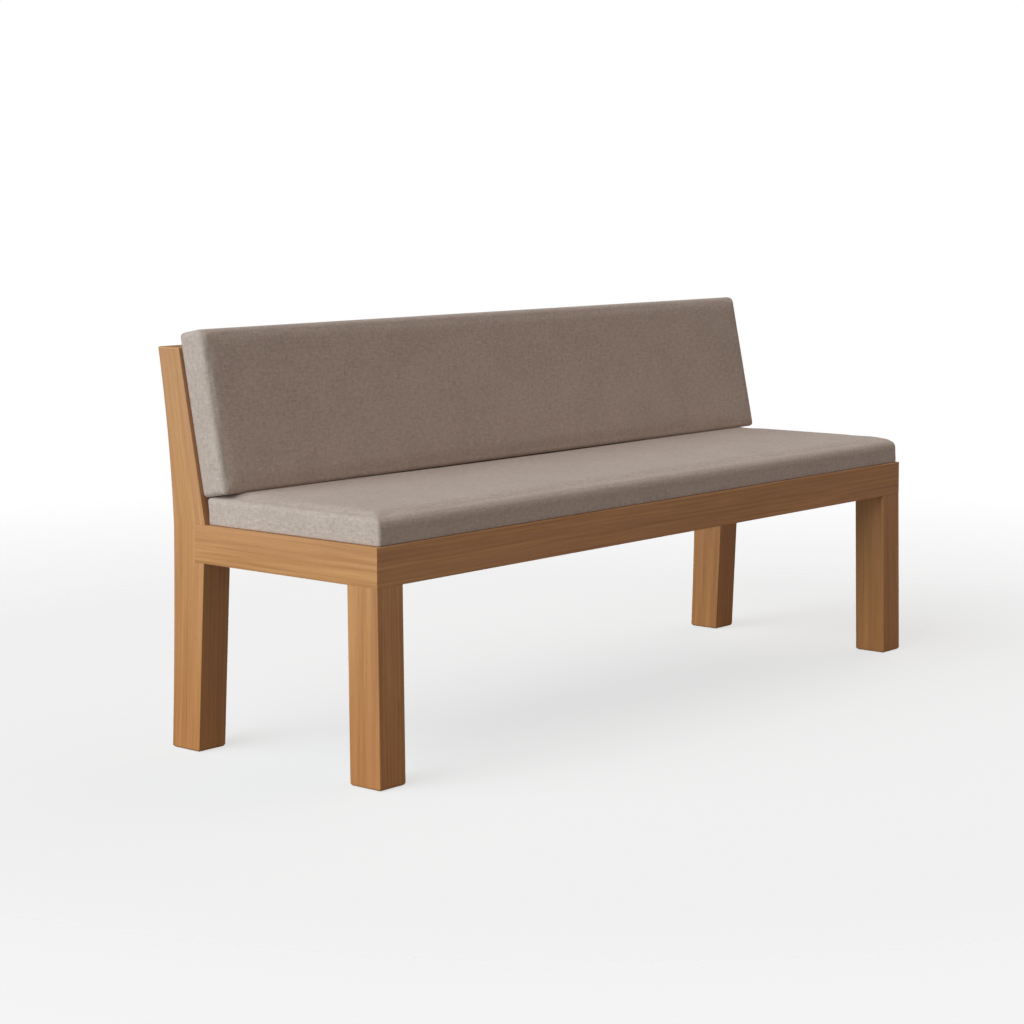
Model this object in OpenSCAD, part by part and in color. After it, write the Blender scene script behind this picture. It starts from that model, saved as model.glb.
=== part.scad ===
// Church pew: a hardwood seat frame on two butted front legs and two sabre-shaped rear posts,
// with an upholstered seat pad and a raked, framed back that carries an upholstered back pad.
// Millimetres. X runs along the pew, -Y is its front, Z = 0 is the floor.

/* [Overall] */
// Length over the two ends
frame_l = 1600; // [1300:10:2000]
// Depth from the toes of the front legs to the back of the post tops
frame_d = 526; // [520:1:532]
// Height of the top of the seat rails
rail_top = 399; // [385:1:415]
// Height of the rear posts
post_h = 702; // [690:1:720]

/* [Legs and rails] */
// Height of the seat rails
rail_h = 67; // [62:1:75]
// Thickness of the seat and back rails
rail_t = 30; // [28:1:32]
// Width of a leg or a post along the pew
leg_w = 62; // [58:1:70]
// Depth of a front leg
leg_d = 68; // [64:1:75]
// How far the front toes stand forward of the rail
leg_lean = 5; // [0:1:8]
// Depth of the seat, from the front rail's face to the foot of the back
seat_d = 406; // [396:1:412]
// How far a side rail is let into its post
rail_lap = 25; // [20:1:30]
// Distance between the seat bearers
bearer_pitch = 385; // [330:5:400]

/* [Rear posts and back] */
// Lean of the back in degrees
rake = 11.7; // [10:0.1:13]
// Depth of a post at the floor
foot_d = 68; // [62:1:72]
// How far the post's foot is set behind its waist
foot_set = 19; // [10:1:24]
// Depth of a post at the top of the seat rails
waist_d = 79; // [76:1:84]
// Height of the lower back rail and width of the centre stile
back_rail_h = 70; // [60:1:75]
// Gap between the seat frame and the lower back rail
back_gap = 20; // [15:1:25]

/* [Pads] */
// How far the pads stop short of the ends of the frame
pad_inset = 7; // [4:1:12]
// Thickness of the seat pad
seat_pad_h = 48; // [44:1:50]
// Thickness of the back pad
back_pad_t = 55; // [50:1:60]
// Height of the back pad along its lean
back_pad_h = 288; // [280:1:292]
// Rounding of the pads' padded edges
pad_edge_r = 11; // [9:0.5:14]
// Thickness of the plywood pad boards
board_t = 12; // [12:1:15]
// Thickness of the cover cloth
cover_t = 1.5; // [1:0.1:2]
// Thickness of the wadding over the foam
wadding_t = 5; // [4:0.5:6]

/* [Hidden] */

$fn = 48;
OAK = [0.73, 0.56, 0.39];
PANEL = [0.70, 0.54, 0.38];
PLY = [0.80, 0.68, 0.50];
FOAM = [0.90, 0.84, 0.62];
WADDING = [0.93, 0.93, 0.91];
CLOTH = [0.66, 0.60, 0.55];
LINING = [0.10, 0.10, 0.11];
ZINC = [0.72, 0.72, 0.70];
BRONZE = [0.30, 0.22, 0.15];
NYLON = [0.16, 0.13, 0.11];

slack = 0.2;                    // glue line or clearance in a hidden joint
half_l = frame_l / 2;
post_x = half_l - leg_w;        // inner face of a leg or post
rail_x = half_l - rail_t;       // inner face of a side rail
apron_y = -frame_d / 2 + leg_lean;
waist_y = apron_y + seat_d;
rail_bottom = rail_top - rail_h;
glide_proud = 1;
glide_r = 15;
glide_h = 5;
foot_chamfer = 3;
top_chamfer = 2;
lower_sag = 2;                  // hollow of the post's back below the waist
upper_sag = 5;                  // hollow of the post's back above the waist

// Hidden joints
tongue_gap = 2;                 // the leg tongue stops short of the pad and of the leg's back
housing = 8;                    // depth of stub joints and panel grooves
tenon_l = 24;
tenon_t = 10;
tenon_h = 44;
panel_t = 6;
bearer_h = 50;

// Heights along the leaning back, measured from the rails' top
lower_rail_u = back_gap;
panel_u0 = lower_rail_u + back_rail_h;
post_top_u = (post_h - rail_top) / cos(rake);
top_rail_h = 63;
panel_u1 = post_top_u - top_rail_h;
stile_w = back_rail_h;

// Pads: seat pad clear of the posts, back pad just clear of the seat pad
pad_l = frame_l - 2 * pad_inset;
seat_pad_front = 1.5;
seat_pad_d = seat_d - seat_pad_front - 1;
back_pad_u = seat_pad_h / cos(rake) - 3;
pad_corner_r = 9;
seat_pad = [pad_l, seat_pad_d, seat_pad_h];
back_pad = [pad_l, back_pad_h, back_pad_t];
turn_under = 20;                // width of the cover that is turned over the board
lining_t = 1;

// Fasteners
bolt_r = 3;
bolt_clear_r = 3.5;
bolt_head_r = 8.5;
bolt_head_h = 2.4;
counterbore_r = 9.5;
tee_barrel_r = 4;
tee_flange_r = 9.5;
tee_flange_t = 1.3;
seat_bolt_seat = 30;            // depth of a bolt head's seat below the pad
back_bolt_seat = 24;
post_bolt_x = post_x + 16;
post_bolt_r = 4;
insert_r = 6;
insert_l = 25;
post_bolt_l = 78;
washer_r = 9;
washer_t = 1.6;
screw_l = 48;
screw_z = [-14, -44];           // below the rails' top, into the side rails
screw_z_front = [-29, -58];     // below the rails' top, into the front rail

seat_holes = [for (x = [-1, 0, 1]) for (y = [0.27, 0.73]) [x * bearer_pitch, y * seat_pad_d]];
back_holes = [for (x = [-0.375, -0.145, 0.145, 0.375]) for (u = [panel_u0 - 18, post_top_u - 31])
  [x * frame_l, u - back_pad_u]];

// y of a post's front face below the rails' top
function post_front(z) = waist_y + foot_set * (1 - z / rail_top);

// Points on the circular arc from a to b that bows by sag to the left of that direction
function arc(a, b, sag, steps = 12) =
  let (c = norm(b - a), r = (c * c / 4 + sag * sag) / (2 * sag), n = [a.y - b.y, b.x - a.x] / c)
  [for (i = [0 : steps]) let (t = i / steps, s = c * (t - 0.5))
    a + (b - a) * t + n * (sqrt(r * r - s * s) - (r - sag))];

function mid(a, b) = (a + b) / 2;

// Extrudes a YZ outline from x0 to x1
module along_x(x0, x1) {
  translate([x0, 0, 0]) rotate([90, 0, 90]) linear_extrude(x1 - x0) children();
}

// Extrudes an XZ outline from y0 to y1
module along_y(y0, y1) {
  translate([0, y1, 0]) rotate([90, 0, 0]) linear_extrude(y1 - y0) children();
}

// Box between two corners
module box(a, b) {
  translate(a) cube(b - a);
}

// The leaning frame of the back: y is depth behind its front plane, z is height along it
module raked() {
  translate([0, waist_y, rail_top]) rotate([-rake, 0, 0]) children();
}

module to_left() {
  mirror([1, 0, 0]) children();
}

// ---------- seat frame ----------

module front_rail() {
  color(OAK) difference() {
    translate([0, 0, rail_bottom]) linear_extrude(rail_h)
      polygon([[-half_l, apron_y], [half_l, apron_y],
               [rail_x, apron_y + rail_t], [-rail_x, apron_y + rail_t]]);
    bearer_housings(apron_y + rail_t - housing, apron_y + rail_t + 1);
    front_screw_holes();
    to_left() front_screw_holes();
  }
}

module side_rail() {
  difference() {
    translate([0, 0, rail_bottom]) linear_extrude(rail_h)
      polygon([[half_l, apron_y], [half_l, waist_y + rail_lap],
               [rail_x, waist_y + rail_lap], [rail_x, apron_y + rail_t]]);
    rear_rail_stub(slack / 2);
    side_screw_holes();
  }
}

module side_rail_left() {
  color(OAK) to_left() side_rail();
}

module side_rail_right() {
  color(OAK) side_rail();
}

// The stub end of the rear rail, grown by gap for its housing
module rear_rail_stub(gap) {
  box([rail_x - 1, waist_y - rail_t + 6 - gap, rail_bottom + 8 - gap],
      [rail_x + housing + gap, waist_y - 6 + gap, rail_top - 8 + gap]);
}

module rear_rail() {
  color(OAK) difference() {
    union() {
      along_x(-rail_x, rail_x)
        polygon([[waist_y - rail_t, rail_bottom], [post_front(rail_bottom), rail_bottom],
                 [waist_y, rail_top], [waist_y - rail_t, rail_top]]);
      rear_rail_stub(0);
      to_left() rear_rail_stub(0);
    }
    bearer_housings(waist_y - rail_t - 1, waist_y - rail_t + housing);
    for (x = [-1, 1]) for (z = post_bolt_z())
      translate([x * post_bolt_x, waist_y - rail_t - 1, z])
        rotate([-90, 0, 0]) cylinder(r = post_bolt_r + 0.3, h = rail_t + 10);
  }
}

module bearer_housings(y0, y1) {
  for (x = [-1, 0, 1])
    box([x * bearer_pitch - rail_t / 2, y0, rail_top - bearer_h],
        [x * bearer_pitch + rail_t / 2, y1, rail_top + 1]);
}

module seat_bearer(x) {
  color(OAK) difference() {
    box([x - rail_t / 2, apron_y + rail_t - housing, rail_top - bearer_h],
        [x + rail_t / 2, waist_y - rail_t + housing, rail_top]);
    seat_place() for (p = seat_holes) if (abs(p.x - x) < 1)
      translate([p.x, p.y, 0]) bolt_hole(seat_bolt_seat);
  }
}

module seat_bearer_left() {
  seat_bearer(-bearer_pitch);
}

module seat_bearer_centre() {
  seat_bearer(0);
}

module seat_bearer_right() {
  seat_bearer(bearer_pitch);
}

// ---------- legs and posts ----------

// XZ outline of a leg or post, chamfered at the floor and at its top
module leg_front_outline(h, top) {
  c = foot_chamfer;
  z = glide_proud;
  polygon([[post_x + c, z], [half_l - c, z], [half_l, z + c], [half_l, h - top],
           [half_l - top, h], [post_x + top, h], [post_x, h - top], [post_x, z + c]]);
}

module glide_recess(y) {
  translate([mid(post_x, half_l), y, 0]) {
    cylinder(r = glide_r + slack, h = glide_h);
    cylinder(r = 1.6, h = glide_h + 16);
  }
}

module front_leg() {
  c = foot_chamfer;
  z = glide_proud;
  toe = apron_y - leg_lean;
  heel = toe + leg_d;
  difference() {
    union() {
      intersection() {
        along_x(post_x, half_l)
          polygon([[toe + c, z], [heel - c, z], [heel, z + c],
                   [apron_y + leg_d, rail_bottom], [apron_y, rail_bottom], [toe, z + c]]);
        along_y(toe - 1, apron_y + leg_d + 1) leg_front_outline(rail_bottom, 0);
      }
      box([post_x, apron_y + rail_t, rail_bottom - 5],
          [rail_x, apron_y + leg_d - tongue_gap, rail_top - tongue_gap]);
    }
    glide_recess(front_glide_y());
    front_screw_holes();
    side_screw_holes();
  }
}

module front_leg_left() {
  color(OAK) to_left() front_leg();
}

module front_leg_right() {
  color(OAK) front_leg();
}

function front_glide_y() = apron_y - leg_lean + leg_d / 2;
function rear_glide_y() = waist_y + foot_set + foot_d / 2;
function post_bolt_z() = [rail_bottom + 17, rail_top - 17];

// YZ outline of a rear post
module post_outline() {
  c = foot_chamfer;
  z = glide_proud;
  toe = waist_y + foot_set;
  heel = toe + foot_d;
  waist_back = [waist_y + waist_d, rail_top - 7];
  top_front = waist_y + (post_h - rail_top) * tan(rake);
  top_back = frame_d / 2;
  polygon(concat(
    [[toe, z + c], [toe + c, z], [heel - c, z]],
    arc([heel, z + c], waist_back, lower_sag),
    arc(waist_back, [top_back, post_h - top_chamfer], upper_sag),
    [[top_back - top_chamfer, post_h], [top_front + top_chamfer, post_h],
     [top_front - 0.4, post_h - top_chamfer], [waist_y, rail_top]]));
}

module rear_post() {
  difference() {
    intersection() {
      along_x(post_x, half_l) post_outline();
      along_y(waist_y - 1, frame_d / 2 + 1) leg_front_outline(post_h, top_chamfer);
    }
    box([rail_x, waist_y - 20, rail_bottom], [half_l + 1, waist_y + rail_lap, rail_top]);
    raked() {
      back_rail_tenon(lower_rail_u, slack / 2);
      back_rail_tenon(panel_u1, slack / 2);
      box([post_x - 1, (rail_t - panel_t) / 2, panel_u0 - housing],
          [post_x + housing, (rail_t + panel_t) / 2, panel_u1 + housing]);
    }
    for (z = post_bolt_z()) translate([post_bolt_x, waist_y - 5, z]) rotate([-90, 0, 0]) {
      cylinder(r = insert_r, h = insert_l + 5 + post_front(z) - waist_y);
      cylinder(r = post_bolt_r + 0.3, h = post_bolt_l - rail_t + 8);
    }
    glide_recess(rear_glide_y());
  }
}

module rear_post_left() {
  color(OAK) to_left() rear_post();
}

module rear_post_right() {
  color(OAK) rear_post();
}

// ---------- framed back ----------

// Tenon on the right end of a back rail whose lower edge is at u, grown by gap for its mortise
module back_rail_tenon(u, gap) {
  z = u + 10;
  box([post_x - 1, (rail_t - tenon_t) / 2 - gap, z - gap],
      [post_x + tenon_l + gap, (rail_t + tenon_t) / 2 + gap, z + tenon_h + gap]);
}

// Groove for the panels, centred in a back rail's thickness
module panel_groove(u0, u1) {
  box([-post_x - 1, (rail_t - panel_t) / 2, u0], [post_x + 1, (rail_t + panel_t) / 2, u1]);
}

module back_rail_bar(u0, u1) {
  box([-post_x, 0, u0], [post_x, rail_t, u1]);
  back_rail_tenon(u0, 0);
  to_left() back_rail_tenon(u0, 0);
}

module back_bolt_holes() {
  back_place() for (p = back_holes) translate([p.x, p.y, 0]) bolt_hole(back_bolt_seat);
}

module lower_back_rail() {
  color(OAK) difference() {
    raked() difference() {
      back_rail_bar(lower_rail_u, panel_u0);
      panel_groove(panel_u0 - housing, panel_u0 + 1);
    }
    back_bolt_holes();
  }
}

module top_back_rail() {
  color(OAK) difference() {
    raked() difference() {
      back_rail_bar(panel_u1, post_top_u + 10);
      panel_groove(panel_u1 - 1, panel_u1 + housing);
    }
    box([-half_l, 0, post_h], [half_l, frame_d, post_h + 50]);
    back_bolt_holes();
  }
}

module centre_back_stile() {
  color(OAK) raked() difference() {
    union() {
      box([-stile_w / 2, 0, panel_u0], [stile_w / 2, rail_t, panel_u1]);
      box([-stile_w / 2 + housing, (rail_t - panel_t) / 2, panel_u0 - housing + slack],
          [stile_w / 2 - housing, (rail_t + panel_t) / 2, panel_u1 + housing - slack]);
    }
    for (x = [-1, 1]) translate([x * (stile_w / 2 - housing / 2), 0, 0])
      box([-housing / 2 - 0.01, (rail_t - panel_t) / 2, panel_u0 - 1],
          [housing / 2 + 0.01, (rail_t + panel_t) / 2, panel_u1 + 1]);
  }
}

module back_panel() {
  reach = housing - 1;          // room for the panel to swell in its grooves
  raked() box([stile_w / 2 - reach, (rail_t - panel_t) / 2 + slack, panel_u0 - reach],
              [post_x + reach, (rail_t + panel_t) / 2 - slack, panel_u1 + reach]);
}

module back_panel_left() {
  color(PANEL) to_left() back_panel();
}

module back_panel_right() {
  color(PANEL) back_panel();
}

// ---------- upholstered pads ----------
// A pad is drawn lying flat: x along the pew, y across it from 0, z up from its board side.

module seat_place() {
  translate([0, apron_y + seat_pad_front, rail_top]) children();
}

module back_place() {
  raked() translate([0, 0, back_pad_u]) rotate([90, 0, 0]) children();
}

// Rectangle with round corners, centred on x
module round_rect(w, h, r) {
  translate([-w / 2 + r, 0]) square([w - 2 * r, h]);
  translate([-w / 2, r]) square([w, h - 2 * r]);
  for (x = [-1, 1]) for (y = [r, h - r]) translate([x * (w / 2 - r), y]) circle(r = r);
}

// Pad shape of the given length, depth and height, inset all round, with round upper edges
module pad_block(size, inset, z0) {
  w = size.x - 2 * inset;
  d = size.y - 2 * inset;
  top = size.z - inset;
  r = pad_edge_r - inset;
  intersection() {
    translate([0, inset, z0]) linear_extrude(top - z0) round_rect(w, d, pad_corner_r - inset);
    translate([0, inset - 1, -2 * r]) rotate([90, 0, 0]) mirror([0, 0, 1])
      linear_extrude(d + 2) round_rect(w, top + 2 * r, r);
    translate([-w / 2 - 1, inset + d / 2, -2 * r]) rotate([90, 0, 90])
      linear_extrude(w + 2) round_rect(d, top + 2 * r, r);
  }
}

module pad_board(size, holes) {
  inset = cover_t;
  color(PLY) difference() {
    translate([0, inset, cover_t]) linear_extrude(board_t)
      round_rect(size.x - 2 * inset, size.y - 2 * inset, pad_corner_r - inset);
    for (p = holes) translate([p.x, p.y, 0]) {
      cylinder(r = tee_barrel_r, h = cover_t + board_t + 1);
      translate([0, 0, cover_t + board_t - tee_flange_t]) cylinder(r = tee_flange_r, h = 5);
    }
  }
}

module pad_foam(size) {
  color(FOAM) pad_block(size, cover_t + wadding_t, cover_t + board_t);
}

module pad_wadding(size) {
  color(WADDING) difference() {
    pad_block(size, cover_t, cover_t + board_t);
    pad_block(size, cover_t + wadding_t, 0);
  }
}

module pad_cover(size) {
  color(CLOTH) difference() {
    pad_block(size, 0, 0);
    pad_block(size, cover_t, cover_t);
    pad_window(size, -1, cover_t + 1);
  }
}

// The middle of the board's outer side, which the turned-under cover leaves bare
module pad_window(size, z0, z1) {
  box([-size.x / 2 + turn_under, turn_under, z0],
      [size.x / 2 - turn_under, size.y - turn_under, z1]);
}

module pad_bottom_cloth(size, holes) {
  color(LINING) difference() {
    pad_window(size, cover_t - lining_t, cover_t);
    for (p = holes) translate([p.x, p.y, -1]) cylinder(r = bolt_clear_r + 1.5, h = 5);
  }
}

module seat_board() {
  seat_place() pad_board(seat_pad, seat_holes);
}

module seat_foam() {
  seat_place() pad_foam(seat_pad);
}

module seat_wadding() {
  seat_place() pad_wadding(seat_pad);
}

module seat_cover() {
  seat_place() pad_cover(seat_pad);
}

module seat_bottom_cloth() {
  seat_place() pad_bottom_cloth(seat_pad, seat_holes);
}

module back_board() {
  back_place() pad_board(back_pad, back_holes);
}

module back_foam() {
  back_place() pad_foam(back_pad);
}

module back_wadding() {
  back_place() pad_wadding(back_pad);
}

module back_cover() {
  back_place() pad_cover(back_pad);
}

module back_bottom_cloth() {
  back_place() pad_bottom_cloth(back_pad, back_holes);
}

// ---------- fasteners ----------

// Clearance hole and counterbore for a pad bolt whose head sits at the given depth below the pad
module bolt_hole(depth) {
  translate([0, 0, -depth - 1]) cylinder(r = bolt_clear_r, h = depth + 5);
  translate([0, 0, -depth - 40]) cylinder(r = counterbore_r, h = 40);
}

// Flat-headed connector bolt with a hexagon socket
module pad_bolt(depth) {
  difference() {
    union() {
      translate([0, 0, -depth - bolt_head_h]) cylinder(r = bolt_head_r, h = bolt_head_h);
      translate([0, 0, -depth]) cylinder(r = bolt_r, h = depth + cover_t + board_t - 1);
    }
    translate([0, 0, -depth - bolt_head_h - 1]) cylinder(r = 2.3, h = 4.5, $fn = 6);
  }
}

module tee_nut() {
  difference() {
    union() {
      translate([0, 0, cover_t + board_t - tee_flange_t])
        cylinder(r = tee_flange_r - 0.1, h = tee_flange_t);
      translate([0, 0, cover_t + board_t - 10]) cylinder(r = tee_barrel_r - 0.05, h = 9);
    }
    cylinder(r = bolt_r + 0.05, h = 30);
  }
}

module seat_pad_bolts() {
  color(ZINC) seat_place() for (p = seat_holes) translate([p.x, p.y, 0]) pad_bolt(seat_bolt_seat);
}

module seat_pad_tee_nuts() {
  color(ZINC) seat_place() for (p = seat_holes) translate([p.x, p.y, 0]) tee_nut();
}

module back_pad_bolts() {
  color(BRONZE) back_place() for (p = back_holes)
    translate([p.x, p.y, 0]) pad_bolt(back_bolt_seat);
}

module back_pad_tee_nuts() {
  color(ZINC) back_place() for (p = back_holes) translate([p.x, p.y, 0]) tee_nut();
}

// Puts a fastener, drawn along +z, at each bolt place between the rear rail and the posts
module at_post_bolts() {
  for (x = [-1, 1]) for (z = post_bolt_z())
    translate([x * post_bolt_x, waist_y - rail_t, z]) rotate([-90, 0, 0]) children();
}

module post_bolts() {
  color(ZINC) at_post_bolts() {
    translate([0, 0, -washer_t - 5]) cylinder(r = 7.5, h = 5, $fn = 6);
    translate([0, 0, -washer_t - 1]) cylinder(r = post_bolt_r, h = post_bolt_l);
  }
}

module post_bolt_washers() {
  color(ZINC) at_post_bolts() translate([0, 0, -washer_t]) difference() {
    cylinder(r = washer_r, h = washer_t);
    translate([0, 0, -1]) cylinder(r = post_bolt_r + 0.2, h = washer_t + 2);
  }
}

module post_bolt_inserts() {
  color(BRONZE) for (x = [-1, 1]) for (z = post_bolt_z())
    translate([x * post_bolt_x, post_front(z) + 0.5, z]) rotate([-90, 0, 0]) difference() {
      cylinder(r = insert_r - 0.05, h = insert_l - 1);
      translate([0, 0, -1]) cylinder(r = post_bolt_r + 0.05, h = insert_l + 2);
    }
}

// Countersunk wood screw along +z with its head's face at z = 0, grown by gap for its hole
module wood_screw(l, gap = 0) {
  rotate_extrude() polygon([[0, 0], [4.6 + gap, 0], [2.4 + gap, 3], [2.4 + gap, l - 6],
                            [0.5 + gap, l], [0, l]]);
}

module screw_with_drive(l) {
  difference() {
    wood_screw(l);
    translate([0, 0, -1]) cylinder(r = 1.7, h = 3.2, $fn = 4);
  }
}

// Places on the right front leg's tongue for the screws into the side rail
module at_side_screws() {
  for (z = screw_z)
    translate([post_x, apron_y + mid(rail_t, leg_d), rail_top + z]) rotate([0, 90, 0]) children();
}

// Places on the right front leg's tongue for the screws into the front rail
module at_front_screws() {
  for (z = screw_z_front)
    translate([mid(post_x, rail_x), apron_y + leg_d - tongue_gap, rail_top + z])
      rotate([90, 0, 0]) children();
}

module side_screw_holes() {
  at_side_screws() wood_screw(screw_l, 0.05);
}

module front_screw_holes() {
  at_front_screws() wood_screw(screw_l, 0.05);
}

module front_leg_screws() {
  color(ZINC) for (side = [0, 1]) mirror([side, 0, 0]) {
    at_side_screws() screw_with_drive(screw_l);
    at_front_screws() screw_with_drive(screw_l);
  }
}

module at_glides() {
  for (x = [-1, 1]) for (y = [front_glide_y(), rear_glide_y()])
    translate([x * mid(post_x, half_l), y, 0]) children();
}

module floor_glides() {
  color(NYLON) at_glides() difference() {
    cylinder(r = glide_r, h = glide_h - slack);
    translate([0, 0, -0.2]) cylinder(r1 = 4.2, r2 = 1.7, h = 3.2);
    cylinder(r = 1.7, h = glide_h + 1);
  }
}

module glide_screws() {
  color(ZINC) at_glides() translate([0, 0, 0.6]) difference() {
    rotate_extrude() polygon([[0, 0], [3.2, 0], [1.5, 2], [1.5, 16], [0.4, 19], [0, 19]]);
    translate([0, 0, -1]) cylinder(r = 1.2, h = 2.2, $fn = 4);
  }
}

front_rail();
side_rail_left();
side_rail_right();
rear_rail();
front_leg_left();
front_leg_right();
rear_post_left();
rear_post_right();
seat_bearer_left();
seat_bearer_centre();
seat_bearer_right();
top_back_rail();
lower_back_rail();
centre_back_stile();
back_panel_left();
back_panel_right();
seat_board();
seat_foam();
seat_wadding();
seat_cover();
seat_bottom_cloth();
back_board();
back_foam();
back_wadding();
back_cover();
back_bottom_cloth();
seat_pad_bolts();
seat_pad_tee_nuts();
back_pad_bolts();
back_pad_tee_nuts();
post_bolts();
post_bolt_washers();
post_bolt_inserts();
front_leg_screws();
floor_glides();
glide_screws();
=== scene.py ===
"""Looks for a church pew: eased oak frame, framed back and two upholstered pads, around its CAD."""

import math

import bmesh
import bpy
from bpy.props import FloatProperty, FloatVectorProperty, IntProperty, PointerProperty
from mathutils import Matrix, Vector
from mathutils.bvhtree import BVHTree


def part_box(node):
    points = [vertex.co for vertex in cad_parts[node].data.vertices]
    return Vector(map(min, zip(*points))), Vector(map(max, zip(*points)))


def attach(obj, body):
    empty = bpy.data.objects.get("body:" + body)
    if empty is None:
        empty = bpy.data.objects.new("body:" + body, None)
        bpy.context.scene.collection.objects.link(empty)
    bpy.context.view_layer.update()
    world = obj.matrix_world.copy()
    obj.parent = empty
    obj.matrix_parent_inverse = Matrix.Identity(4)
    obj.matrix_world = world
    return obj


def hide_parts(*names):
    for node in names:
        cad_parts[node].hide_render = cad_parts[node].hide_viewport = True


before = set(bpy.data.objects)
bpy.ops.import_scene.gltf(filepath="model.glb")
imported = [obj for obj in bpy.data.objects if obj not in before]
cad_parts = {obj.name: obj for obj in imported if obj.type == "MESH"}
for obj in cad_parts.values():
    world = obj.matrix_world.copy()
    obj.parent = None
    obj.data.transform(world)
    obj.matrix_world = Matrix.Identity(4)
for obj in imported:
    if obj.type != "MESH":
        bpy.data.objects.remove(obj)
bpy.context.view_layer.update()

bl_info = {
    "name": "Church pew",
    "version": (1, 0, 0),
    "blender": (4, 5, 0),
    "location": "View3D > Sidebar > Pew",
    "description": "Builds the visible pieces, finishes and stage of an upholstered church pew",
    "category": "Object",
}

BODY = "root"
MM = 0.001
LEAN = math.radians(11.7)
FOAM_GIVE = 0.5 * MM
UNDER_RIM = 20 * MM

# A pad's shape in mm. rounding: padded edges at low y, at high y, at the ends, and upright;
# swelling: the most that its cloth moves out along x, y and z; rear_lean: how far its upper rear
# edge tips outwards; droop: how far its padded face sinks at its low edge.
SEAT_PAD = {"rounding": (18, 5, 10, 6), "swelling": (1.5, 0.8, 7.0), "rear_lean": 6.0, "droop": 0.0}
BACK_PAD = {"rounding": (8, 14, 10, 9), "swelling": (1.5, 0.8, 2.5), "rear_lean": 0.0, "droop": 1.6}
SLIMMING = Vector((0.6, 0.0, 0.8)) * MM

# Middle of a rear post's depth at the floor, at the seat and at its top
POST_MIDDLES = (0.201, 0.188, 0.237)
POST_CUTS = 6

# Share of the full easing that the edges on the floor get
SOLE_EASING = 0.35

# Soft lights: name, strength, side and height in degrees
KEY_LIGHTS = (("key_high", 1.16, 0, 35), ("key_back", 0.83, 30, 40), ("key_low", 0.97, 0, 8))
FILL_LIGHTS = (("fill_low", 0.74, -130, 10), ("fill_high", 1.17, 180, 45))
LIGHT_SPREAD = math.radians(50)

# Boards of the frame: node and grain direction
BOARDS = {
    "seat_frame": [
        ("front_rail", "X"), ("rear_rail", "X"), ("side_rail_left", "Y"), ("side_rail_right", "Y"),
        ("seat_bearer_left", "Y"), ("seat_bearer_centre", "Y"), ("seat_bearer_right", "Y"),
    ],
    "legs": [
        ("front_leg_left", "Z"), ("front_leg_right", "Z"),
        ("rear_post_left", "post"), ("rear_post_right", "post"),
    ],
    "back_frame": [
        ("top_back_rail", "X"), ("lower_back_rail", "X"), ("centre_back_stile", "lean"),
    ],
    "panels": [("back_panel_left", "X"), ("back_panel_right", "X")],
}


# ---------- sizes and colours a user would change ----------

def colour_prop(label, text, rgb):
    return FloatVectorProperty(name=label, description=text, subtype="COLOR", size=3,
                               min=0.0, max=1.0, default=rgb)


def length_prop(label, text, metres):
    return FloatProperty(name=label, description=text, unit="LENGTH", default=metres, precision=4)


class PewWood(bpy.types.PropertyGroup):
    light: colour_prop("Early wood", "Pale wood between the growth rings", (0.640, 0.324, 0.126))
    dark: colour_prop("Late wood", "Darker wood in the growth rings", (0.366, 0.156, 0.052))
    blush: colour_prop("Blush", "Pinker streaks in the wood", (0.51, 0.233, 0.110))
    pore: colour_prop("Pores", "Short dark pores along the grain", (0.255, 0.104, 0.034))
    ply_light: colour_prop("Ply", "Face of the plywood boards", (0.62, 0.46, 0.27))
    ply_dark: colour_prop("Ply streaks", "Darker streaks in the plywood", (0.45, 0.30, 0.16))
    ease: length_prop("Eased edge", "Rounding of edges that hands and legs touch", 2.2 * MM)
    joint_ease: length_prop("Joint edge", "Fine easing of edges that meet another board", 0.35 * MM)
    ring_pitch: length_prop("Ring pitch", "Distance between growth rings", 8.5 * MM)


class PewCloth(bpy.types.PropertyGroup):
    light: colour_prop("Light yarn", "Pale yarns of the heathered cloth", (0.700, 0.572, 0.494))
    dark: colour_prop("Dark yarn", "Dark yarns of the heathered cloth", (0.382, 0.302, 0.252))
    lining: colour_prop("Bottom cloth", "Cloth that closes a pad's underside", (0.012, 0.012, 0.014))
    yarn: length_prop("Yarn pitch", "Width of one woven yarn", 1.3 * MM)
    cell: length_prop("Mesh size", "Size of a mesh cell on a pad before it is smoothed", 12 * MM)
    hem: length_prop("Board edge rounding", "Rounding of the cloth over the board's edge", 3 * MM)
    board: length_prop("Board", "Thickness of the plywood board under a pad", 12 * MM)
    steps: IntProperty(name="Cloth steps", description="Frames of the cloth simulation", default=20)
    pressure: FloatProperty(name="Pressure", description="Push of the foam on the cover", default=4.0)


class PewStage(bpy.types.PropertyGroup):
    lens: FloatProperty(name="Lens", description="Focal length in millimetres", default=85.75)
    place: FloatVectorProperty(name="Camera", description="Where the camera stands", subtype="XYZ",
                               unit="LENGTH", default=(-3.6311, -2.9360, 0.9832))
    heading: FloatProperty(name="Heading", description="Turn of the view from the back of the pew",
                           unit="ROTATION", default=math.radians(49.786))
    pitch: FloatProperty(name="Pitch", description="How far the view looks down",
                         unit="ROTATION", default=math.radians(4.0))
    shift: FloatProperty(name="Shift", description="Vertical shift of the lens", default=-0.1539)
    floor_radius: length_prop("Floor", "Radius of the pale floor", 3.2)
    key: FloatProperty(name="Key light", description="Strength of the soft lights at the left",
                       default=1.24)
    fill: FloatProperty(name="Fill light", description="Strength of the warm lights at the right",
                        default=0.64)
    cool: colour_prop("Key colour", "Colour of the soft lights at the left", (0.89, 0.965, 1.0))
    warm: colour_prop("Fill colour", "Colour of the warm lights at the right", (1.0, 0.82, 0.73))


# ---------- node helpers ----------

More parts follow.
